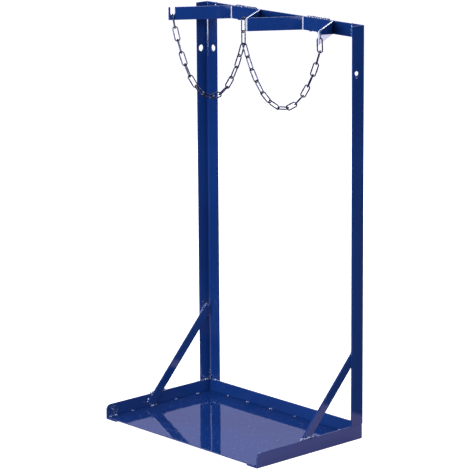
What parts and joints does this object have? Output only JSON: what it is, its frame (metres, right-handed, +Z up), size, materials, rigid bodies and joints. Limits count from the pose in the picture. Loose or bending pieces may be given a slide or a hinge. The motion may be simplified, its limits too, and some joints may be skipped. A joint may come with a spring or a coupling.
{
  "type": "two-cylinder gas bottle stand",
  "caption": "Free-standing open-fronted angle-iron stand for two gas cylinders, with a tray, two braced posts, a rail with V yokes and hooked retaining chains.",
  "frame": {"origin": "centre of the base rectangle, on the floor", "axes": "+X to the stand's right seen from the front, +Y to the back, +Z up"},
  "size_m": [0.6, 0.38, 1.103],
  "materials": {
    "blue_paint": "gloss enamel over welded steel",
    "zinc": "bright zinc plated steel wire"
  },
  "bodies": {
    "frame": {"floor_plate": "blue_paint", "left_rim": "blue_paint", "right_rim": "blue_paint", "back_rim": "blue_paint", "left_post": "blue_paint", "right_post": "blue_paint", "top_rail": "blue_paint", "left_yoke": "blue_paint", "right_yoke": "blue_paint", "left_brace": "blue_paint", "right_brace": "blue_paint", "anchor_link": "zinc"},
    "centre_link": {"centre_link": "zinc"},
    "left_hook": {"left_hook_link": "zinc"},
    "right_hook": {"right_hook_link": "zinc"},
    "left_chain": {"left_link_1": "zinc", "left_link_2": "zinc", "left_link_3": "zinc", "left_link_4": "zinc", "left_link_5": "zinc", "left_link_6": "zinc", "left_link_7": "zinc", "left_link_8": "zinc", "left_link_9": "zinc", "left_link_10": "zinc", "left_link_11": "zinc", "left_link_12": "zinc", "left_link_13": "zinc"},
    "right_chain": {"right_link_1": "zinc", "right_link_2": "zinc", "right_link_3": "zinc", "right_link_4": "zinc", "right_link_5": "zinc", "right_link_6": "zinc", "right_link_7": "zinc", "right_link_8": "zinc", "right_link_9": "zinc", "right_link_10": "zinc", "right_link_11": "zinc", "right_link_12": "zinc", "right_link_13": "zinc"}
  },
  "joints": [
    {"name": "left_chain_swing", "type": "hinge", "parent": "frame", "child": "left_chain", "pos_m": [-0.27841, 0.0544, 1.04371], "axis": [0.9988, -0.0044, -0.0487], "range_deg": [-25, 25]},
    {"name": "right_chain_swing", "type": "hinge", "parent": "frame", "child": "right_chain", "pos_m": [0.27841, 0.0544, 1.04371], "axis": [0.9989, 0.0042, 0.0465], "range_deg": [-25, 25]},
    {"name": "centre_link_turn", "type": "hinge", "parent": "frame", "child": "centre_link", "pos_m": [-0.00632, 0.05323, 1.04725], "axis": [0, 0, 1], "range_deg": [-5, 5]},
    {"name": "left_hook_turn", "type": "hinge", "parent": "frame", "child": "left_hook", "pos_m": [-0.27998, 0.05206, 1.06149], "axis": [0.0875, 0.1297, -0.9877], "range_deg": [-12, 12]},
    {"name": "right_hook_turn", "type": "hinge", "parent": "frame", "child": "right_hook", "pos_m": [0.27998, 0.05206, 1.06149], "axis": [-0.0875, 0.1297, -0.9877], "range_deg": [-12, 12]}
  ]
}
